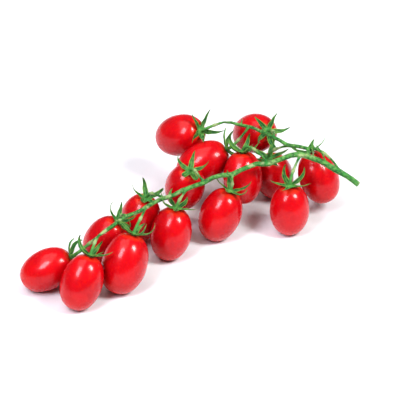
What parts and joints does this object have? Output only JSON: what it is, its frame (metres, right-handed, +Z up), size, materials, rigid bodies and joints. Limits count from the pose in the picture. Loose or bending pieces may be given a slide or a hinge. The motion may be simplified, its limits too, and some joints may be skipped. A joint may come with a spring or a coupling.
{
  "type": "truss of tomatoes",
  "caption": "Truss of ripe baby plum tomatoes as picked: a forked green stem with a cut end carries oval glossy red fruits, each with a leafy star-shaped calyx and a knuckled stalk.",
  "frame": {"origin": "centre of the underside of the bounding box, on the surface that the truss rests on", "axes": "+Z up, +X along the truss from its tip to its cut end, +Y towards the side branch"},
  "size_m": [0.223, 0.1748, 0.0613],
  "materials": {
    "tomato_skin": "glossy ripe tomato skin",
    "calyx_leaf": "matte green sepals and far end of the fruit stalk",
    "stem": "matte green stem with pale knuckles"
  },
  "bodies": {
    "root": {"main_stem": "stem", "side_branch": "stem", "tomato_01": "tomato_skin", "calyx_01": "calyx_leaf", "tomato_02": "tomato_skin", "calyx_02": "calyx_leaf", "tomato_03": "tomato_skin", "calyx_03": "calyx_leaf", "tomato_04": "tomato_skin", "calyx_04": "calyx_leaf", "tomato_05": "tomato_skin", "calyx_05": "calyx_leaf", "tomato_06": "tomato_skin", "calyx_06": "calyx_leaf", "tomato_07": "tomato_skin", "calyx_07": "calyx_leaf", "tomato_08": "tomato_skin", "calyx_08": "calyx_leaf", "tomato_09": "tomato_skin", "calyx_09": "calyx_leaf", "tomato_10": "tomato_skin", "calyx_10": "calyx_leaf", "tomato_11": "tomato_skin", "calyx_11": "calyx_leaf", "tomato_12": "tomato_skin", "calyx_12": "calyx_leaf", "tomato_13": "tomato_skin", "calyx_13": "calyx_leaf", "tomato_14": "tomato_skin", "calyx_14": "calyx_leaf", "tomato_15": "tomato_skin", "calyx_15": "calyx_leaf"}
  },
  "joints": []
}
